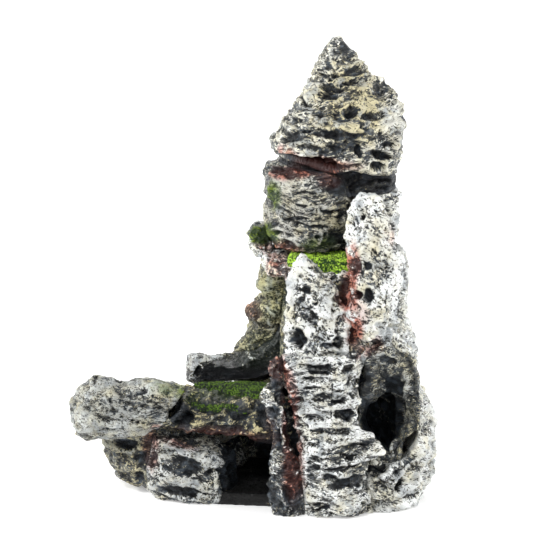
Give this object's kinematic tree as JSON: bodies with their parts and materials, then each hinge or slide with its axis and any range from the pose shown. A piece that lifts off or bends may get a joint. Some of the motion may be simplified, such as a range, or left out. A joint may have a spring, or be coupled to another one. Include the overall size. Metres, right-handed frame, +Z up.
{
  "type": "aquarium cave ornament",
  "caption": "Rockery aquarium cave: a tall stacked-stone tower with a pointed summit, a mossy side ledge and a cave that fish swim through.",
  "frame": {"origin": "middle of the footprint, on the floor that the ornament stands on", "axes": "+Z up to the summit, -Y the front with the cave mouth, +X to the mouth's side, -X out along the ledge"},
  "size_m": [0.157, 0.1, 0.194],
  "materials": {
    "white_wash": "near-black cast resin, dry-brushed white on every raised ridge, satin lacquer",
    "grey_wash": "near-black cast resin, dry-brushed grey and white, satin lacquer",
    "cream_wash": "near-black cast resin, dry-brushed cream over white, satin lacquer",
    "rust_stain": "cast resin with a red-brown stain in its hollows and a pale dry-brush on its ridges",
    "bare_resin": "bare black resin, smooth and slightly glossy, with thin cream edges",
    "moss_flock": "green flock and sand grains glued on as moss"
  },
  "bodies": {
    "root": {"base_plate": "bare_resin", "cave_arch": "white_wash", "cave_throat": "bare_resin", "crevice_pillar": "rust_stain", "front_wall_slab": "white_wash", "ledge_boulder": "grey_wash", "ledge_core": "bare_resin", "ledge_foot": "grey_wash", "ledge_prow": "bare_resin", "ledge_slab": "grey_wash", "left_fang": "white_wash", "moss_ledge": "moss_flock", "moss_terrace": "moss_flock", "rear_buttress": "grey_wash", "rear_left_stone": "grey_wash", "rear_wall_stone": "grey_wash", "right_column": "white_wash", "right_pinnacle": "white_wash", "summit_peak": "cream_wash", "terrace_knob": "rust_stain", "terrace_stone": "rust_stain", "tower_block": "grey_wash", "tower_neck": "bare_resin", "tower_shoulder": "bare_resin"}
  },
  "joints": []
}
